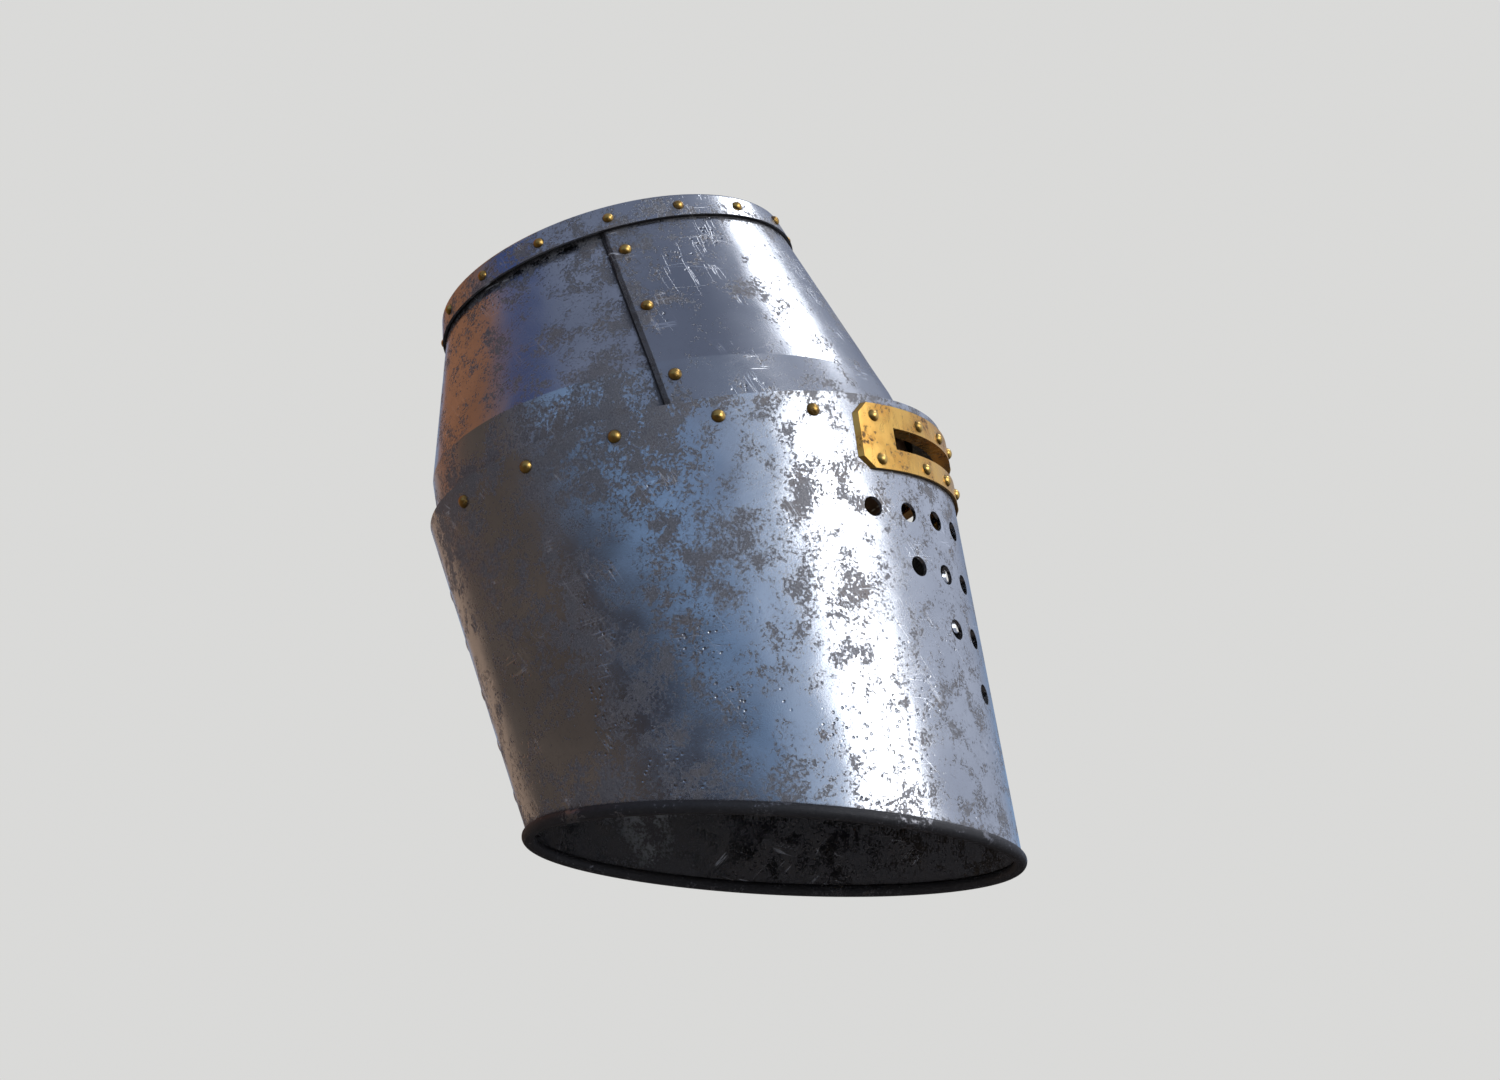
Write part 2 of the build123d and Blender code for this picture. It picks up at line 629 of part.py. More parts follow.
def strap_keeper():
    y, z = buckle_bar_y() + KEEPER_UP, bar_centre()[1]
    half, thick = STRAP_WIDTH / 2 + GAP, STRAP_T + GAP
    outer = block(half + KEEPER_T, y, y + KEEPER_HEIGHT, z - thick - KEEPER_T, z + thick + KEEPER_T)
    return placed(hanger_frame(1), outer - block(half, y - 1, y + KEEPER_HEIGHT + 1, z - thick, z + thick))


def buckle_frame():
    y, z = buckle_bar_y(), bar_centre()[1]
    plate = block(BUCKLE_HALF, y - BUCKLE_LENGTH, y, z - BUCKLE_T / 2, z + BUCKLE_T / 2)
    corners = [edge for edge in plate.edges().filter_by(Axis.Z) if edge.center().Y < y - 1]
    plate = fillet(corners, BUCKLE_CORNER)
    window = block(BUCKLE_HALF - BUCKLE_WALL, y - BUCKLE_LENGTH + BUCKLE_WALL, y + 1, z - 5, z + 5)
    return placed(hanger_frame(1), plate - window + rod(BAR_R, BUCKLE_HALF, y, z))


def buckle_tongue():
    y, z = buckle_bar_y(), bar_centre()[1]
    bore = BAR_R + BAR_CLEARANCE
    eye = rod(bore + TONGUE_WALL, TONGUE_HALF, y, z)
    low_z, high_z = z + BUCKLE_T / 2 + TONGUE_REST, z + bore + TONGUE_WALL
    arm = block(TONGUE_HALF, y - BUCKLE_LENGTH, y, low_z, high_z)
    return placed(hanger_frame(1), eye + arm - rod(bore, 10, y, z))


# ---------------------------------------------------------------- export
def all_parts():
    parts = {
        "crown_plate": crown_plate(),
        "crown_rivets": crown_rivets(),
        "skull_front_plate": skull_front_plate(),
        "skull_rear_plate": skull_rear_plate(),
        "skull_seam_rivets_right": seam_rivets(1),
        "skull_seam_rivets_left": seam_rivets(-1),
        "lower_wall_plate": lower_wall_plate(),
        "lap_rivets": lap_rivets(),
        "rear_seam_strap": rear_seam_strap(),
        "rear_seam_rivets": rear_seam_rivets(),
        "rim_binding": rim_binding(),
        "rim_wire": rim_wire(),
        "sight_plate": sight_plate(),
        "sight_rivets_upper": sight_rivets(SIGHT_UPPER_DROP, PLATE + 3 * GAP),
        "sight_rivets_lower": sight_rivets(SIGHT_LOWER_DROP, GAP),
        "liner_band": liner_band(),
        "liner_roves": liner_roves(),
        "liner_lace": liner_lace(),
        "strap_hanger_right": strap_hanger(1),
        "strap_hanger_left": strap_hanger(-1),
        "chin_strap_right": chin_strap_right(),
        "chin_strap_left": chin_strap_left(),
        "strap_keeper": strap_keeper(),
        "buckle_frame": buckle_frame(),
        "buckle_tongue": buckle_tongue(),
    }
    for name, pad in zip(PAD_NAMES, liner_pads()):
        parts["liner_pad_" + name] = pad
    return parts


os.makedirs("parts", exist_ok=True)
for node, shape in all_parts().items():
    export_step(shape, "parts/" + node + ".step")
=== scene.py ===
import json
import math

import bpy
from mathutils import Matrix, Vector, noise


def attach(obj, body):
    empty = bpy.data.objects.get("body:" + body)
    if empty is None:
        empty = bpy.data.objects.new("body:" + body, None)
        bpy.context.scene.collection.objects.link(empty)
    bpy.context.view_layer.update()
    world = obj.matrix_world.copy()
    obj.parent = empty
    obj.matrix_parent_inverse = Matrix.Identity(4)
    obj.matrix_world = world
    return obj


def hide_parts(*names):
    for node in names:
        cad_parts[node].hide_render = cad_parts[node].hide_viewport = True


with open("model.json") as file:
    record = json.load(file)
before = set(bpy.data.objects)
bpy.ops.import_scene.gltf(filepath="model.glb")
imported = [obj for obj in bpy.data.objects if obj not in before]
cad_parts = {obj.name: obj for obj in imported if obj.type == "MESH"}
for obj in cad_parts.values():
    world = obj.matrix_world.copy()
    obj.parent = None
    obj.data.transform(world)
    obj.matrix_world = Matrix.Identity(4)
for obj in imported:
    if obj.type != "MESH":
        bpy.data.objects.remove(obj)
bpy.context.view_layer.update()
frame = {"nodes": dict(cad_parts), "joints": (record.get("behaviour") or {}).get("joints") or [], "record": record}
NODES = frame["nodes"]
MM = 0.001

# ---------------------------------------------------------------- camera, floor and light
LOOK_AT = Vector((0.0, -0.01588, 0.17145))
AZIMUTH, ELEVATION, ROLL = math.radians(-84.99), math.radians(-19.96), math.radians(3.46)
DISTANCE = 1.0734
LENS = 48.0
FLOOR_Z = -0.8


def add_camera():
    flat = math.cos(ELEVATION)
    back = Vector((math.sin(AZIMUTH) * flat, -math.cos(AZIMUTH) * flat, math.sin(ELEVATION)))
    right = (-back).cross(Vector((0, 0, 1))).normalized()
    up = right.cross(-back)
    rolled_right = right * math.cos(ROLL) + up * math.sin(ROLL)
    rolled_up = up * math.cos(ROLL) - right * math.sin(ROLL)
    data = bpy.data.cameras.new("camera")
    data.lens, data.sensor_width = LENS, 36.0
    data.clip_start, data.clip_end = 0.01, 100.0
    camera = bpy.data.objects.new("camera", data)
    bpy.context.scene.collection.objects.link(camera)
    turn = Matrix((rolled_right, rolled_up, back)).transposed().to_4x4()
    camera.matrix_world = Matrix.Translation(LOOK_AT + back * DISTANCE) @ turn
    bpy.context.scene.camera = camera


def add_light(name, direction, distance, width, height, power, colour):
    """Softbox that faces the helm from a direction."""
    way = Vector(direction).normalized()
    data = bpy.data.lights.new(name, "AREA")
    data.shape, data.size, data.size_y = "RECTANGLE", width, height
    data.energy, data.color = power, colour
    light = bpy.data.objects.new(name, data)
    light.matrix_world = (Matrix.Translation(LOOK_AT + way * distance)
                          @ way.to_track_quat("Z", "Y").to_matrix().to_4x4())
    bpy.context.scene.collection.objects.link(light)
    return light


# ---------------------------------------------------------------- node helpers
class Graph:
    """Short names for building a node tree; a value may be a socket or a number."""

    def __init__(self, tree):
        self.tree = tree
        tree.nodes.clear()

    def add(self, kind, inputs=None, **settings):
        made = self.tree.nodes.new(kind)
        for key, value in settings.items():
            setattr(made, key, value)
        for key, value in (inputs or {}).items():
            self.put(made.inputs[key], value)
        return made

    def put(self, socket, value):
        if isinstance(value, bpy.types.NodeSocket):
            self.tree.links.new(value, socket)
        else:
            socket.default_value = value

    def math(self, operation, a, b=0.0, clamp=False):
        made = self.add("ShaderNodeMath", operation=operation, use_clamp=clamp)
        self.put(made.inputs[0], a)
        self.put(made.inputs[1], b)
        return made.outputs[0]

    def vector(self, operation, a, b=(0, 0, 0), out=0):
        made = self.add("ShaderNodeVectorMath", operation=operation)
        self.put(made.inputs[0], a)
        self.put(made.inputs[1], b)
        return made.outputs[out]

    def place(self):
        return self.add("ShaderNodeTexCoord").outputs["Object"]

    def stretch(self, place, turn, scale):
        made = self.add("ShaderNodeMapping", {"Vector": place, "Rotation": turn, "Scale": scale})
        return made.outputs[0]

    def noise(self, place, scale, detail=3.0, roughness=0.5, distortion=0.0, colour=False):
        made = self.add("ShaderNodeTexNoise", {"Vector": place, "Scale": scale, "Detail": detail,
                                               "Roughness": roughness, "Distortion": distortion})
        return made.outputs["Color" if colour else "Fac"]

    def cells(self, place, scale, feature="F1", randomness=1.0):
        inputs = {"Vector": place, "Scale": scale, "Randomness": randomness}
        made = self.add("ShaderNodeTexVoronoi", inputs, feature=feature)
        return made.outputs["Distance"]

    def step(self, value, low, high, to_low=0.0, to_high=1.0):
        made = self.add("ShaderNodeMapRange", interpolation_type="SMOOTHSTEP")
        for index, item in enumerate((value, low, high, to_low, to_high)):
            self.put(made.inputs[index], item)
        return made.outputs[0]

    def blend(self, share, a, b):
        """Colour a where share is 0, and b where it is 1."""
        made = self.add("ShaderNodeMix", data_type="RGBA")
        self.put(made.inputs[0], share)
        self.put(made.inputs[6], a)
        self.put(made.inputs[7], b)
        return made.outputs[2]

    def mix(self, share, a, b):
        made = self.add("ShaderNodeMix", data_type="FLOAT")
        self.put(made.inputs[0], share)
        self.put(made.inputs[2], a)
        self.put(made.inputs[3], b)
        return made.outputs[0]

    def most(self, *values):
        found = values[0]
        for value in values[1:]:
            found = self.math("MAXIMUM", found, value)
        return found

    def bump(self, height, distance, under=None):
        made = self.add("ShaderNodeBump", {"Height": height, "Distance": distance})
        if under is not None:
            self.put(made.inputs["Normal"], under)
        return made.outputs[0]

    def crevice(self, distance):
        """1 in the open, and less towards 0 in corners and gaps."""
        made = self.add("ShaderNodeAmbientOcclusion", {"Distance": distance}, samples=6)
        return made.outputs["AO"]


def new_material(name):
    made = bpy.data.materials.new(name)
    made.use_nodes = True
    graph = Graph(made.node_tree)
    shader = graph.add("ShaderNodeBsdfPrincipled")
    out = graph.add("ShaderNodeOutputMaterial")
    graph.tree.links.new(shader.outputs[0], out.inputs[0])
    return made, graph, shader


def rgb(red, green, blue):
    return (red, green, blue, 1.0)


def way(azimuth, elevation):
    """Direction from the helm: azimuth 0 is in front of the face, below 0 on the wearer's right."""
    a, e = math.radians(azimuth), math.radians(elevation)
    return (math.sin(a) * math.cos(e), -math.cos(a) * math.cos(e), math.sin(e))


SOFT_LIGHTS = [  # azimuth, elevation, full within, gone beyond, colour
    (180, -10, 20, 52, rgb(0.125, 0.098, 0.080)),
    (128, 3, 7, 22, rgb(0.38, 0.27, 0.20)),
    (150, 32, 19, 29, rgb(0.34, 0.155, 0.085)),
    (-160, 33, 7, 17, rgb(0.060, 0.092, 0.235)),
    (8, 27, 18, 62, rgb(0.64, 0.69, 0.82)),
    (-58, 13, 7, 27, rgb(0.66, 0.80, 1.02)),
    (-38, 20, 11, 20, rgb(5.6, 5.6, 5.6)),
    (24, 61, 6, 12, rgb(7.0, 7.1, 7.3)),
]


def add_world():
    """Soft studio light from all round; the camera itself sees a plain pale backdrop."""
    world = bpy.data.worlds.new("studio")
    world.use_nodes = True
    bpy.context.scene.world = world
    g = Graph(world.node_tree)
    direction = g.add("ShaderNodeTexCoord").outputs["Generated"]
    height = g.add("ShaderNodeSeparateXYZ", {"Vector": direction}).outputs["Z"]
    sky = g.blend(g.step(height, 0.20, 0.46), rgb(0.29, 0.45, 0.70), rgb(0.235, 0.268, 0.365))
    ground = g.blend(g.step(height, -0.5, 0.05), rgb(0.055, 0.047, 0.044), rgb(0.058, 0.049, 0.050))
    colour = g.blend(g.step(height, 0.080, 0.180), ground, sky)
    for azimuth, elevation, inner, outer, tint in SOFT_LIGHTS:
        near = g.vector("DOT_PRODUCT", direction, way(azimuth, elevation), out=1)
        share = g.step(near, math.cos(math.radians(outer)), math.cos(math.radians(inner)))
        colour = g.blend(share, colour, tint)
    seen = g.add("ShaderNodeLightPath").outputs["Is Camera Ray"]
    colour = g.blend(seen, colour, rgb(0.70, 0.70, 0.69))
    back = g.add("ShaderNodeBackground", {"Color": colour, "Strength": 1.0})
    out = g.add("ShaderNodeOutputWorld")
    g.tree.links.new(back.outputs[0], out.inputs[0])


def add_floor():
    mesh = bpy.data.meshes.new("floor")
    half = 30.0
    mesh.from_pydata([(-half, -half, FLOOR_Z), (half, -half, FLOOR_Z), (half, half, FLOOR_Z),
                      (-half, half, FLOOR_Z)], [], [(0, 1, 2, 3)])
    floor = bpy.data.objects.new("floor", mesh)
    bpy.context.scene.collection.objects.link(floor)
    made, g, shader = new_material("floor_paint")
    grain = g.noise(g.place(), 3.0, 5.0)
    g.put(shader.inputs["Base Color"], g.blend(grain, rgb(0.74, 0.74, 0.73), rgb(0.80, 0.80, 0.79)))
    shader.inputs["Roughness"].default_value = 0.9
    mesh.materials.append(made)
    floor.visible_glossy = False


add_camera()
add_world()
add_floor()
fill = add_light("fill", (0.1, -0.1, 1.0), 3.0, 3.0, 3.0, 40, (0.97, 0.98, 1.0))
fill.visible_glossy = False

# ---------------------------------------------------------------- where things are on the helm
LAP_LEAN = math.radians(13.5)
LAP_POINT = (0.0, 0.0196, 0.199)
CROWN_LEAN = math.radians(20.0)
CROWN_POINT = (0.0, 0.0658, 0.3116)
SEAM_REAR = (0.0, 0.925, -0.380)  # square to the skull's side seams


def height_over(g, place, point, lean):
    """Height over a plane that leans back about X."""
    away = g.vector("SUBTRACT", place, point)
    return g.vector("DOT_PRODUCT", away, (0.0, math.sin(lean), math.cos(lean)), out=1)


def blob(g, place, centre, radius):
    """1 at a point of the helm, falling to 0 at the radius."""
    return g.step(g.vector("DISTANCE", place, centre, out=1), radius, 0.0)


# ---------------------------------------------------------------- steel
PATCHES = [  # middle of a patch of oxide, and how far it reaches
    ((-0.090, 0.045, 0.262), 0.046), ((-0.084, 0.052, 0.300), 0.030), ((-0.105, 0.050, 0.215), 0.034),
    ((-0.113, 0.060, 0.175), 0.052), ((-0.112, 0.022, 0.180), 0.036), ((-0.108, -0.005, 0.120), 0.046),
    ((-0.100, 0.070, 0.090), 0.060), ((-0.105, 0.020, 0.060), 0.040), ((-0.085, -0.070, 0.110), 0.044),
    ((-0.098, -0.045, 0.165), 0.032), ((-0.060, 0.130, 0.150), 0.050), ((-0.080, -0.020, 0.285), 0.020),
    ((0.090, 0.040, 0.255), 0.050), ((0.112, 0.020, 0.165), 0.055), ((0.100, -0.040, 0.090), 0.050),
    ((0.090, 0.090, 0.110), 0.050), ((0.030, 0.145, 0.120), 0.050), ((0.0, -0.150, 0.075), 0.040),
    ((-0.020, -0.060, 0.285), 0.040), ((0.030, 0.150, 0.250), 0.045), ((0.010, 0.070, 0.330), 0.060),
]


def steel(name, oxide_bias=0.0):
    made, g, shader = new_material(name)
    p = g.place()
    parts = g.add("ShaderNodeSeparateXYZ", {"Vector": p})
    x, y, z = (parts.outputs[axis] for axis in "XYZ")
    # the wall laid flat: distance round the helm, and height
    turn = g.math("ARCTAN2", x, g.math("MULTIPLY", y, -1.0))
    flat = g.add("ShaderNodeCombineXYZ", {"X": g.math("MULTIPLY", turn, 0.12), "Y": z}).outputs[0]
    # broad tone of the metal
    cloud = g.noise(p, 11.0, 5.0, 0.55, 0.4)
    cool = g.blend(g.step(cloud, 0.35, 0.68), rgb(0.42, 0.44, 0.48), rgb(0.56, 0.58, 0.62))
    # polishing strokes that run slantwise
    def strokes_along(slant, long_scale, cross_scale):
        c, s = math.cos(math.radians(slant)), math.sin(math.radians(slant))
        along = g.vector("DOT_PRODUCT", flat, (c, s, 0.0), out=1)
        across = g.vector("DOT_PRODUCT", flat, (-s, c, 0.0), out=1)
        stretched = g.add("ShaderNodeCombineXYZ", {
            "X": g.math("MULTIPLY", along, long_scale),
            "Y": g.math("MULTIPLY", across, cross_scale),
        }).outputs[0]
        return g.noise(stretched, 1.0, 3.0, 0.55)
    area = g.noise(p, 15.0, 2.0)
    falling, rising = strokes_along(-52, 14.0, 520.0), strokes_along(24, 12.0, 460.0)
    strokes = g.mix(g.step(area, 0.44, 0.58), falling, rising)
    stroke_gate = g.step(g.noise(p, 19.0, 2.0), 0.42, 0.66)
    # oxide patches with speckled edges
    bias = None
    for centre, radius in PATCHES:
        here = blob(g, p, centre, radius)
        bias = here if bias is None else g.math("ADD", bias, here)
    broken = g.noise(p, 70.0, 7.0, 0.68)
    fleck = g.noise(p, 620.0, 6.0, 0.70)
    fine = g.noise(p, 1500.0, 3.0, 0.6)
    field = g.math("ADD", g.math("MULTIPLY", broken, 0.53), g.math("MULTIPLY", fleck, 0.47))
    field = g.math("ADD", field, g.math("MULTIPLY", g.math("MINIMUM", bias, 1.1), 0.070))
    field = g.math("ADD", field, g.math("MULTIPLY", g.math("SUBTRACT", cloud, 0.5), 0.10))
    field = g.math("ADD", field, oxide_bias)
    # dirt near the lap, the crown band, the rim and every rivet; the crevice mask also paints shade into corners
    # and gaps below
    over_lap = height_over(g, p, LAP_POINT, LAP_LEAN)
    over_crown = height_over(g, p, CROWN_POINT, CROWN_LEAN)
    near_lap = g.step(g.math("ABSOLUTE", g.math("SUBTRACT", over_lap, 0.001)), 0.020, 0.0)
    near_crown = g.step(g.math("ABSOLUTE", over_crown), 0.012, 0.0)
    near_rim = g.step(z, 0.034, 0.004)
    grime_line = g.most(near_lap, near_crown, near_rim)
    corner = g.step(g.crevice(0.0032), 0.90, 0.45)
    field = g.math("ADD", field, g.math("MULTIPLY", grime_line, 0.045))
    field = g.math("ADD", field, g.math("MULTIPLY", corner, 0.16))
    # the inside of the helm is darker and rougher
    from_middle = g.vector("MULTIPLY", g.vector("SUBTRACT", p, (0.0, -0.005, 0.0)), (8.0, 8.0, 0.0))
    outward = g.vector("DOT_PRODUCT", g.add("ShaderNodeTexCoord").outputs["Normal"], from_middle, out=1)
    inside = g.math("MULTIPLY", g.step(outward, -0.05, -0.35), g.step(over_crown, 0.0105, 0.009))
    field = g.math("ADD", field, g.math("MULTIPLY", inside, 0.06))
    # the front skull plate is smoother, and a dark bevel runs down its rear edge
    to_seam = g.vector("DOT_PRODUCT", g.vector("SUBTRACT", p, LAP_POINT), SEAM_REAR, out=1)
    on_skull = g.math("MULTIPLY", g.step(over_lap, 0.0, 0.002), g.step(over_crown, 0.0005, -0.0005))
    skull_front = g.math("MULTIPLY", on_skull, g.step(to_seam, -0.001, -0.003))
    field = g.math("ADD", field, g.math("MULTIPLY", skull_front, -0.022))
    in_bevel = g.math("MULTIPLY", g.step(to_seam, -0.0031, -0.0024), g.step(to_seam, 0.0010, 0.0004))
    bevel = g.math("MULTIPLY", in_bevel, on_skull)
    oxide = g.step(field, 0.548, 0.568)
    haze = g.step(field, 0.480, 0.565)
    # colours of the oxide
    tint = g.noise(p, 30.0, 6.0, 0.6)
    rust = g.blend(g.step(tint, 0.46, 0.64), rgb(0.098, 0.095, 0.104), rgb(0.135, 0.106, 0.090))
    dirt = g.blend(g.step(fine, 0.38, 0.62), rust, rgb(0.200, 0.196, 0.202))
    cool = g.blend(g.math("MULTIPLY", skull_front, 0.45), cool, rgb(0.30, 0.315, 0.345))
    colour = g.blend(g.math("MULTIPLY", haze, 0.45), cool, rgb(0.22, 0.22, 0.24))
    colour = g.blend(g.math("MULTIPLY", oxide, 0.90), colour, dirt)
    # painted shade: near-black in corners and gaps, wherever the occlusion mask finds them
    colour = g.blend(g.math("MULTIPLY", corner, 0.92), colour, rgb(0.014, 0.012, 0.012))
    colour = g.blend(g.math("MULTIPLY", bevel, 0.88), colour, rgb(0.030, 0.027, 0.028))
    colour = g.blend(g.math("MULTIPLY", inside, 0.60), colour, rgb(0.05, 0.046, 0.045))
    # pits
    cell = g.cells(p, 300.0)
    pit_area = g.noise(p, 30.0, 3.0, 0.5)
    low_wall = g.step(z, 0.125, 0.045)
    pit_gate = g.step(g.math("ADD", pit_area, g.math("MULTIPLY", low_wall, 0.09)), 0.61, 0.68)
    pits = g.math("MULTIPLY", g.step(cell, 0.30, 0.12), pit_gate)
    colour = g.blend(g.math("MULTIPLY", pits, 0.45), colour, rgb(0.05, 0.046, 0.046))
    # lone scratches that catch the light
    gate = g.step(g.noise(p, 30.0, 2.0), 0.56, 0.63)
    line_a, line_b = strokes_along(-50, 6.0, 95.0), strokes_along(12, 5.0, 80.0)
    thin_a = g.step(g.math("ABSOLUTE", g.math("SUBTRACT", line_a, 0.5)), 0.0075, 0.002)
    thin_b = g.step(g.math("ABSOLUTE", g.math("SUBTRACT", line_b, 0.54)), 0.0065, 0.002)
    scratch = g.math("MULTIPLY", g.most(thin_a, thin_b), gate)
    colour = g.blend(g.math("MULTIPLY", scratch, 0.50), colour, rgb(0.84, 0.86, 0.90))
    g.put(shader.inputs["Base Color"], colour)
    g.put(shader.inputs["Metallic"], g.mix(g.math("MAXIMUM", oxide, bevel), 1.0, 0.55))
    shine = g.math("ADD", 0.17, g.math("MULTIPLY", g.math("MULTIPLY", strokes, stroke_gate), 0.14))
    shine = g.math("ADD", shine, g.math("MULTIPLY", haze, 0.12))
    shine = g.mix(oxide, shine, g.mix(fine, 0.42, 0.62))
    shine = g.math("ADD", shine, g.math("MULTIPLY", inside, 0.12))
    g.put(shader.inputs["Roughness"], shine)
    # relief
    relief = g.bump(g.noise(p, 20.0, 2.0, 0.5), 0.0010)
    relief = g.bump(g.math("MULTIPLY", strokes, stroke_gate), 0.000035, relief)
    crust = g.math("ADD", g.math("MULTIPLY", oxide, -1.0), g.math("MULTIPLY", fine, 0.5))
    relief = g.bump(crust, 0.00007, relief)
    relief = g.bump(g.math("MULTIPLY", pits, -1.0), 0.00030, relief)
    relief = g.bump(g.math("MULTIPLY", scratch, -1.0), 0.00005, relief)
    g.put(shader.inputs["Normal"], relief)
    return made


def dark_iron(name):
    made, g, shader = new_material(name)
    p = g.place()
    broad = g.noise(p, 60.0, 8.0, 0.65)
    fine = g.noise(p, 520.0, 5.0, 0.7)
    wear = g.math("ADD", g.math("MULTIPLY", broad, 0.6), g.math("MULTIPLY", fine, 0.4))
    worn = g.step(wear, 0.545, 0.60)
    black = g.blend(fine, rgb(0.018, 0.018, 0.020), rgb(0.050, 0.048, 0.050))
    colour = g.blend(g.math("MULTIPLY", worn, 0.8), black, rgb(0.26, 0.26, 0.28))
    g.put(shader.inputs["Base Color"], colour)
    g.put(shader.inputs["Metallic"], g.mix(worn, 0.55, 1.0))
    g.put(shader.inputs["Roughness"], g.mix(worn, 0.58, 0.36))
    relief = g.bump(broad, 0.0005)
    g.put(shader.inputs["Normal"], g.bump(fine, 0.00022, relief))
    return made


def brass(name, light, dark, crevice_shade, spots):
    made, g, shader = new_material(name)
    p = g.place()
    broad = g.noise(p, 55.0, 6.0, 0.6, 0.3)
    fine = g.noise(p, 420.0, 7.0, 0.7)
    tone = g.blend(g.step(broad, 0.36, 0.66), light, dark)
    field = g.math("ADD", g.math("MULTIPLY", broad, 0.5), g.math("MULTIPLY", fine, 0.5))
    spot = g.step(field, spots, spots + 0.045)
    colour = g.blend(g.math("MULTIPLY", spot, 0.85), tone, rgb(0.11, 0.062, 0.028))
    # painted shade: dark brown in corners and gaps, from the occlusion mask, at the strength given
    corner = g.step(g.crevice(0.0030), 0.97, 0.55)
    colour = g.blend(g.math("MULTIPLY", corner, crevice_shade), colour, rgb(0.022, 0.014, 0.008))
    hairs = g.noise(g.stretch(p, (0.4, 0.2, 0.1), (700.0, 40.0, 160.0)), 1.0, 2.0)
    g.put(shader.inputs["Base Color"], colour)
    g.put(shader.inputs["Metallic"], g.mix(spot, 1.0, 0.55))
    rough = g.math("ADD", 0.26, g.math("MULTIPLY", g.step(hairs, 0.3, 0.7), 0.14))
    g.put(shader.inputs["Roughness"], g.mix(spot, rough, 0.62))
    relief = g.bump(broad, 0.0003)
    g.put(shader.inputs["Normal"], g.bump(g.math("SUBTRACT", fine, spot), 0.00008, relief))
    return made


# ---------------------------------------------------------------- leather, linen and cord
def leather(name):
    made, g, shader = new_material(name)
    p = g.place()
    broad = g.noise(p, 45.0, 5.0, 0.6)
    grain = g.cells(p, 1500.0)
    crease = g.noise(g.stretch(p, (0.0, 0.0, 0.0), (60.0, 60.0, 260.0)), 1.0, 4.0, 0.6, 0.6)
    tone = g.blend(g.step(broad, 0.35, 0.68), rgb(0.082, 0.040, 0.020), rgb(0.150, 0.078, 0.038))
    worn = g.step(g.math("ADD", broad, g.math("MULTIPLY", crease, 0.5)), 0.82, 0.95)
    colour = g.blend(g.math("MULTIPLY", worn, 0.6), tone, rgb(0.27, 0.16, 0.085))
    # painted shade: near-black in corners and gaps, from the occlusion mask
    corner = g.step(g.crevice(0.003), 0.95, 0.5)
    colour = g.blend(g.math("MULTIPLY", corner, 0.8), colour, rgb(0.020, 0.011, 0.006))
    g.put(shader.inputs["Base Color"], colour)
    g.put(shader.inputs["Roughness"], g.mix(worn, g.mix(broad, 0.42, 0.58), 0.66))
    relief = g.bump(crease, 0.00022)
    g.put(shader.inputs["Normal"], g.bump(grain, 0.00006, relief))
    return made


def linen(name, light, dark, thread):
    """Woven linen: threads that cross at right angles, with slubs, stains, and painted shade in its folds and
    corners.
    """
    made, g, shader = new_material(name)
    p = g.place()
    parts = g.add("ShaderNodeSeparateXYZ", {"Vector": p})
    x, y, z = (parts.outputs[axis] for axis in "XYZ")
    round_it = g.math("MULTIPLY", g.math("ARCTAN2", x, g.math("SUBTRACT", 0.03, y)), 0.09)
    bend = g.math("MULTIPLY", g.noise(p, 40.0, 2.0), 0.004)
    warp = g.math("SINE", g.math("MULTIPLY", g.math("ADD", round_it, bend), thread))
    weft = g.math("SINE", g.math("MULTIPLY", g.math("ADD", z, bend), thread))
    weave = g.math("MULTIPLY", warp, weft)
    slub = g.noise(g.stretch(p, (0.0, 0.0, 0.0), (90.0, 90.0, 900.0)), 1.0, 4.0, 0.65)
    stain = g.noise(p, 22.0, 6.0, 0.6, 0.5)
    tone = g.blend(g.step(stain, 0.38, 0.66), light, dark)
    tone = g.blend(g.math("MULTIPLY", g.step(slub, 0.45, 0.65), 0.35), tone, rgb(0.60, 0.54, 0.42))
    tone = g.blend(g.math("MULTIPLY", g.step(weave, 0.1, 1.0), 0.22), tone, rgb(0.16, 0.125, 0.085))
    # painted shade: darker brown in folds, corners and gaps, from the occlusion mask
    corner = g.step(g.crevice(0.006), 0.95, 0.4)
    colour = g.blend(g.math("MULTIPLY", corner, 0.65), tone, rgb(0.075, 0.055, 0.036))
    g.put(shader.inputs["Base Color"], colour)
    g.put(shader.inputs["Roughness"], g.mix(slub, 0.86, 0.97))
    g.put(shader.inputs["Sheen Weight"], 0.25)
    relief = g.bump(weave, 0.00012)
    g.put(shader.inputs["Normal"], g.bump(slub, 0.00010, relief))
    return made


def finish_with(piece, slot_name, body, *nodes):
    """Gives a soft piece its material and its body, and hides the CAD nodes that it stands for."""
    piece.data.materials.clear()
    piece.data.materials.append(MATERIALS[slot_name])
    for face in piece.data.polygons:
        face.use_smooth = True
    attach(piece, body)
    if nodes:
        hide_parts(*nodes)


def piece_of(name, points, faces):
    mesh = bpy.data.meshes.new(name)
    mesh.from_pydata([tuple(point) for point in points], [], faces)
    mesh.update()
    piece = bpy.data.objects.new(name, mesh)
    bpy.context.scene.collection.objects.link(piece)
    return piece


def bake(piece):
    """Applies a piece's modifiers."""
    view = bpy.context.evaluated_depsgraph_get()
    view.update()
    mesh = bpy.data.meshes.new_from_object(piece.evaluated_get(view))
    piece.modifiers.clear()
    piece.data = mesh
    return mesh


# ---------------------------------------------------------------- quilted lobes
LAP_MIDDLE = Vector(LAP_POINT)
REARWARDS = Vector((0.0, math.cos(LAP_LEAN), -math.sin(LAP_LEAN)))
LAP_UP = Vector((0.0, math.sin(LAP_LEAN), math.cos(LAP_LEAN)))
RIGHTWARDS = Vector((-1.0, 0.0, 0.0))
AXIS_SHIFT = 15.0
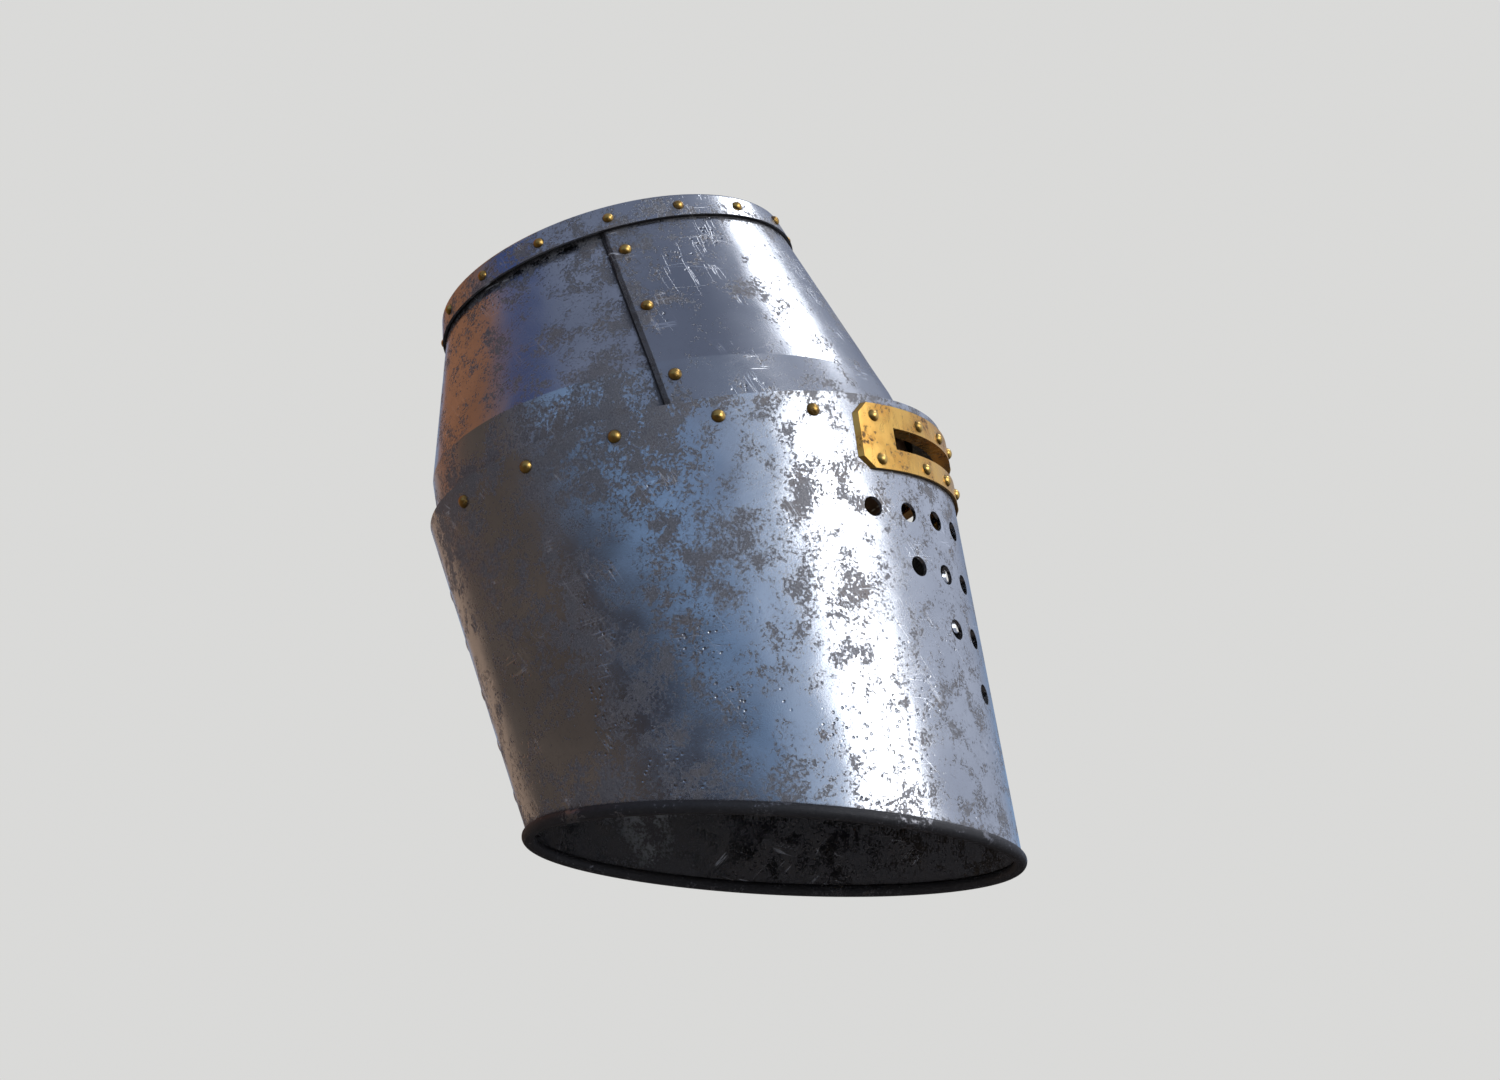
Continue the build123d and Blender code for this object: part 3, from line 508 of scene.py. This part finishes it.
# Height over the lap, shift to the rear, half width, half length, in millimetres.
LOBE_OUTSIDE = [(-2, 5.0, 101.0, 121.2), (45, 10, 92, 110), (80, 14, 68, 84), (98, 16, 34, 44)]
LOBE_INSIDE = [(-2, 5.0, 92.0, 112.2), (43, 10, 82.5, 100.5), (72, 14, 60, 76), (98, 16, 30, 40)]
LOBE_STOPS = (0.0, 0.42, 0.74, 1.0)
LOBES = ("front", "front_right", "right", "rear_right", "rear", "rear_left", "left", "front_left")
ROWS, COLUMNS = 40, 24
SEAM_COLUMNS = (8, 16)
LACE_ROW = 33
LOBE_MARGIN = 2.3  # from a lobe's edge to the plane between two lobes
LOBE_PUFF = 2.6  # how far the filling may push the linen out


def rounded_profile(profile):
    """Ring sizes for every row, with the corners of the profile smoothed out."""
    rows = []
    for row in range(ROWS + 1):
        share = row / ROWS
        index = max(i for i in range(3) if share >= LOBE_STOPS[i])
        part = (share - LOBE_STOPS[index]) / (LOBE_STOPS[index + 1] - LOBE_STOPS[index])
        rows.append([a + (b - a) * part for a, b in zip(profile[index], profile[index + 1])])
    for _ in range(12):
        inner = [[(a + 2 * b + c) / 4 for a, b, c in zip(*rows[i - 1:i + 2])] for i in range(1, ROWS)]
        rows = [rows[0]] + inner + [rows[-1]]
    return rows


def reach(ring, turn):
    """Distance from the liner's axis to a ring, in the direction of a turn."""
    shift, a, b = ring[1:]
    ca, sa = math.cos(turn) / b, math.sin(turn) / a
    offset = (AXIS_SHIFT - shift) / b
    square, cross, rest = ca * ca + sa * sa, -offset * ca, offset * offset - 1
    return (-cross + math.sqrt(cross * cross - square * rest)) / square


def lap_place(height, turn, radius):
    """Point at a height over the lap, by turn and distance about the liner's axis, in millimetres."""
    rear = AXIS_SHIFT - radius * math.cos(turn)
    local = REARWARDS * rear + RIGHTWARDS * (radius * math.sin(turn)) + LAP_UP * height
    return LAP_MIDDLE + local * MM


def lobe_fullness(row, column):
    """How thick a lobe is, from its seams at 0 to the middle of a channel at 1."""
    across = abs(math.sin(math.pi * column * 3 / COLUMNS)) ** 0.55
    ends = min(1.0, row / 4.0, (ROWS - row) / 3.0, 0.35 + abs(row - LACE_ROW) / 3.0)
    return across * math.sqrt(max(ends, 0.0))


def lobe_mesh(index):
    outside, inside = rounded_profile(LOBE_OUTSIDE), rounded_profile(LOBE_INSIDE)
    middle = math.radians(360 / len(LOBES) * index)
    half = math.radians(180 / len(LOBES))
    points, pinned, spans = [], [], COLUMNS + 1
    for side in (1.0, -1.0):
        for row in range(ROWS + 1):
            for column in range(spans):
                mean = (reach(inside[row], middle) + reach(outside[row], middle)) / 2
                margin = math.asin(LOBE_MARGIN / mean)
                turn = middle + (half - margin) * (2 * column / COLUMNS - 1)
                near, far = reach(inside[row], turn), reach(outside[row], turn)
                thick = 0.12 + 0.60 * lobe_fullness(row, column)
                radius = (near + far) / 2 + side * thick * (far - near) / 2
                share = 0.5 + 0.5 * side * thick
                height = inside[row][0] * (1 - share) + outside[row][0] * share
                points.append(lap_place(height, turn, radius))
                edge = row in (0, ROWS, LACE_ROW) or column in (0, COLUMNS) or column in SEAM_COLUMNS
                pinned.append(1.0 if edge else 0.0)
    return points, lobe_faces(spans), pinned


def lobe_faces(spans):
    sheet = (ROWS + 1) * spans
    faces = []
    for row in range(ROWS):
        for column in range(COLUMNS):
            a = row * spans + column
            b, c, d = a + 1, a + 1 + spans, a + spans
            faces.append((a, b, c, d))
            faces.append((a + sheet, d + sheet, c + sheet, b + sheet))
    edge = list(range(COLUMNS))
    edge += [row * spans + COLUMNS for row in range(ROWS)]
    edge += [ROWS * spans + COLUMNS - column for column in range(COLUMNS)]
    edge += [(ROWS - row) * spans for row in range(ROWS)]
    for a, b in zip(edge, edge[1:] + edge[:1]):
        faces.append((b, a, a + sheet, b + sheet))
    return faces


def add_cloth(piece, pinned):
    group = piece.vertex_groups.new(name="seams")
    for index, weight in enumerate(pinned):
        if weight:
            group.add([index], weight, "ADD")
    cloth = piece.modifiers.new("cloth", "CLOTH")
    cloth.settings.quality = 6
    cloth.settings.mass = 0.25
    cloth.settings.tension_stiffness = 12.0
    cloth.settings.compression_stiffness = 6.0
    cloth.settings.bending_stiffness = 0.4
    cloth.settings.shrink_min = -0.05
    cloth.settings.vertex_group_mass = "seams"
    cloth.settings.use_pressure = True
    cloth.settings.uniform_pressure_force = 4.0
    cloth.settings.effector_weights.gravity = 0.0
    cloth.collision_settings.use_collision = False


def add_lobes():
    lobes, starts = [], []
    for index, lobe in enumerate(LOBES):
        points, faces, pinned = lobe_mesh(index)
        piece = piece_of("quilted_lobe_" + lobe, points, faces)
        lobes.append(piece)
        starts.append(points)
        add_cloth(piece, pinned)
    for number in range(1, 21):
        bpy.context.scene.frame_set(number)
    for piece, start, lobe in zip(lobes, starts, LOBES):
        mesh = bake(piece)
        hold_near(mesh, start, LOBE_PUFF * MM)
        piece.modifiers.new("soft", "SUBSURF").levels = 1
        piece.modifiers["soft"].render_levels = 1
        crumple(bake(piece), 95.0, 0.45 * MM)
        finish_with(piece, "liner_linen", "shell", "liner_pad_" + lobe)
    bpy.context.scene.frame_set(1)


def hold_near(mesh, start, limit):
    """Keeps every point within a limit of where it started."""
    for vertex, origin in zip(mesh.vertices, start):
        moved = vertex.co - origin
        if moved.length > limit:
            vertex.co = origin + moved.normalized() * limit


def crumple(mesh, scale, amount):
    """Small uneven folds along the surface."""
    moves = [vertex.normal * (noise.noise(vertex.co * scale) * amount) for vertex in mesh.vertices]
    for vertex, move in zip(mesh.vertices, moves):
        vertex.co += move
    mesh.update()


# ---------------------------------------------------------------- cords and stitches
def tube(path, radius, sides):
    """Points and faces of a round closed tube along a closed path."""
    count = len(path)
    tangents = [(path[(i + 1) % count] - path[i - 1]).normalized() for i in range(count)]
    across = [tangents[0].orthogonal().normalized()]
    for i in range(1, count + 1):
        turned = tangents[i - 1].rotation_difference(tangents[i % count]) @ across[-1]
        across.append(turned.normalized())
    other = tangents[0].cross(across[0])
    slip = math.atan2(across[-1].dot(other), across[-1].dot(across[0]))
    points = []
    for i in range(count):
        up = tangents[i].cross(across[i])
        for side in range(sides):
            angle = 2 * math.pi * side / sides - slip * i / count
            points.append(path[i] + (across[i] * math.cos(angle) + up * math.sin(angle)) * radius)
    faces = []
    for i in range(count):
        for side in range(sides):
            a, b = i * sides + side, i * sides + (side + 1) % sides
            c, d = (i + 1) % count * sides + (side + 1) % sides, (i + 1) % count * sides + side
            faces.append((a, b, c, d))
    return points, faces


def joined(parts):
    """One list of points and faces from several."""
    points, faces = [], []
    for part_points, part_faces in parts:
        first = len(points)
        points += part_points
        faces += [tuple(first + corner for corner in face) for face in part_faces]
    return points, faces


LACE_HEIGHT, LACE_HALF_WIDTH, LACE_HALF_LENGTH = 84.0, 48.0, 60.0
STRANDS, STRAND_R, STRAND_OUT, STRAND_TURNS = 3, 0.92, 0.86, 38
LACE_STEPS, KNOT_STEPS = 900, 150


def lace_line(angle, out=0.0, up=0.0):
    """Point beside the lace's middle line."""
    rear = AXIS_SHIFT - (LACE_HALF_LENGTH + out) * math.cos(angle)
    right = (LACE_HALF_WIDTH + out) * math.sin(angle)
    return LAP_MIDDLE + (REARWARDS * rear + RIGHTWARDS * right + LAP_UP * (LACE_HEIGHT + up)) * MM


def add_lace():
    parts = []
    for strand in range(STRANDS):
        path = []
        for step_number in range(LACE_STEPS):
            angle = 2 * math.pi * step_number / LACE_STEPS
            lay = STRAND_TURNS * angle + 2 * math.pi * strand / STRANDS
            path.append(lace_line(angle, STRAND_OUT * math.cos(lay), STRAND_OUT * math.sin(lay)))
        parts.append(tube(path, STRAND_R * MM, 8))
    knot = []
    for step_number in range(KNOT_STEPS):
        t = 2 * math.pi * step_number / KNOT_STEPS
        x, y, z = math.sin(t) + 2 * math.sin(2 * t), math.cos(t) - 2 * math.cos(2 * t), -math.sin(3 * t)
        knot.append(lace_line(0.35, 1.1 * x - 1.5, 1.1 * y - 1.0) + RIGHTWARDS * (1.3 * z * MM))
    parts.append(tube(knot, 0.95 * MM, 8))
    finish_with(piece_of("twisted_lace", *joined(parts)), "lace_cord", "shell", "liner_lace")


STITCH_RISE = 0.30


def stitch(middle, along, out, length=3.0, thick=0.55):
    """One stitch: a short thread that dips into the leather at both ends."""
    across = along.cross(out).normalized()
    points, faces, rings, sides = [], [], 6, 6
    for ring in range(rings + 1):
        share = ring / rings
        size = thick * MM * (0.35 + 0.65 * math.sin(math.pi * share))
        rise = STITCH_RISE * MM * math.sin(math.pi * share)
        centre = middle + along * (length * MM * (share - 0.5)) + out * rise
        for side in range(sides):
            angle = 2 * math.pi * side / sides
            points.append(centre + (across * math.cos(angle) + out * math.sin(angle)) * size)
    for ring in range(rings):
        for side in range(sides):
            a, b = ring * sides + side, ring * sides + (side + 1) % sides
            faces.append((a, b, b + sides, a + sides))
    faces.append(tuple(range(sides))[::-1])
    faces.append(tuple(rings * sides + side for side in range(sides)))
    return points, faces


def lobe_stitches():
    """Running stitches along the quilting seams, on the side that faces the head."""
    found = []
    spans = COLUMNS + 1
    for index in range(len(LOBES)):
        points = lobe_mesh(index)[0]
        inner = points[len(points) // 2:]
        for column in SEAM_COLUMNS:
            for row in range(2, ROWS - 2, 2):
                if abs(row - LACE_ROW) > 1:
                    here, after = inner[row * spans + column], inner[(row + 1) * spans + column]
                    along = (after - here).normalized()
                    aside = (inner[row * spans + column + 1] - here).normalized()
                    out = aside.cross(along).normalized()
                    if out.dot(LAP_MIDDLE + REARWARDS * 15 * MM + LAP_UP * 30 * MM - here) < 0:
                        out = out * -1
                    found.append(stitch((here + after) / 2, along, out, 3.2, 0.5))
    return found


BAND_A, BAND_B, BAND_SHIFT, BAND_T = 104.6, 125.4, 5.0, 2.5


def band_stitches():
    """Two rows of stitches round the inside of the leather band."""
    found = []
    for height, count in ((4.5, 126), (-11.5, 126)):
        for index in range(count):
            angle = 2 * math.pi * index / count
            a, b = BAND_A - BAND_T, BAND_B - BAND_T
            rear, right = BAND_SHIFT - b * math.cos(angle), a * math.sin(angle)
            middle = LAP_MIDDLE + (REARWARDS * rear + RIGHTWARDS * right + LAP_UP * height) * MM
            along = (REARWARDS * (b * math.sin(angle)) + RIGHTWARDS * (a * math.cos(angle))).normalized()
            inward = LAP_UP.cross(along).normalized()
            if inward.dot(LAP_MIDDLE - middle) < 0:
                inward = inward * -1
            found.append(stitch(middle, along, inward, 3.6, 0.55))
    return found


def strap_stitches(joint, rows):
    """Stitches down both edges of a strap's folded end; rows gives the start and end below the bar."""
    origin, axis = Vector(joint["pos_m"]), Vector(joint["axis"]).normalized()
    side, up = axis * -1, Vector((0.0, 0.0, 1.0))
    out = side.cross(up).normalized()
    found = []
    for start, end in rows:
        for index in range(int(abs(end - start) / 3.4)):
            level = start - 3.4 * index - 1.7
            for x in (-7.0, 7.0):
                for face in (1.0, -1.0):
                    middle = origin + (side * x + up * level + out * (face * 2.35)) * MM
                    found.append(stitch(middle, up, out * face, 2.4, 0.45))
    return found


# ---------------------------------------------------------------- leather pieces
def leather_piece(node, name, body, voxel, scale, amount):
    """Soft copy of a CAD node, with rounded edges and a slightly uneven surface."""
    mesh = NODES[node].data.copy()
    mesh.transform(NODES[node].matrix_world)
    piece = bpy.data.objects.new(name, mesh)
    bpy.context.scene.collection.objects.link(piece)
    remesh = piece.modifiers.new("even", "REMESH")
    remesh.mode, remesh.voxel_size = "VOXEL", voxel
    smooth = piece.modifiers.new("edges", "SMOOTH")
    smooth.factor, smooth.iterations = 0.5, 3
    crumple(bake(piece), scale, amount)
    finish_with(piece, "leather", body, node)


def add_leather():
    leather_piece("liner_band", "leather_band", "shell", 1.1 * MM, 60.0, 0.5 * MM)
    leather_piece("chin_strap_right", "leather_strap_right", "strap_right", 0.55 * MM, 130.0, 0.22 * MM)
    leather_piece("chin_strap_left", "leather_strap_left", "strap_left", 0.55 * MM, 130.0, 0.22 * MM)
    leather_piece("strap_keeper", "leather_keeper", "strap_right", 0.40 * MM, 150.0, 0.12 * MM)


def add_stitches():
    liner = piece_of("stitches_liner", *joined(lobe_stitches() + band_stitches()))
    finish_with(liner, "lace_cord", "shell")
    joints = {joint["name"]: joint for joint in frame["joints"]}
    right = strap_stitches(joints["right_strap_swing"], ((-3.5, -20.5), (-39.5, -56.5)))
    left = strap_stitches(joints["left_strap_swing"], ((-3.5, -20.5),))
    finish_with(piece_of("stitches_right", *joined(right)), "lace_cord", "strap_right")
    finish_with(piece_of("stitches_left", *joined(left)), "lace_cord", "strap_left")


MATERIALS = {
    "steel": steel("steel_plate"),
    "rim_iron": dark_iron("rim_black_iron"),
    "sight_brass": brass("sight_brass", rgb(0.84, 0.50, 0.13), rgb(0.64, 0.33, 0.075), 0.92, 0.545),
    "rivet_brass": brass("rivet_brass", rgb(0.72, 0.47, 0.14), rgb(0.44, 0.26, 0.07), 0.98, 0.56),
    "fitting_brass": brass("fitting_brass", rgb(0.68, 0.45, 0.15), rgb(0.50, 0.31, 0.10), 0.8, 0.58),
    "fitting_iron": dark_iron("fitting_black_iron"),
    "leather": leather("oiled_leather"),
    "liner_linen": linen("quilted_linen", rgb(0.52, 0.45, 0.33), rgb(0.36, 0.30, 0.21), 3900.0),
    "lace_cord": linen("linen_cord", rgb(0.44, 0.37, 0.26), rgb(0.30, 0.24, 0.16), 7000.0),
}


SLOTS = {part["node"]: part["material_slot"] for part in frame["record"]["subparts"]}
for name, node in NODES.items():
    node.data.materials.clear()
    node.data.materials.append(MATERIALS.get(SLOTS[name], MATERIALS["steel"]))

add_lobes()
add_lace()
add_leather()
add_stitches()

bpy.context.scene.view_settings.view_transform = "Standard"
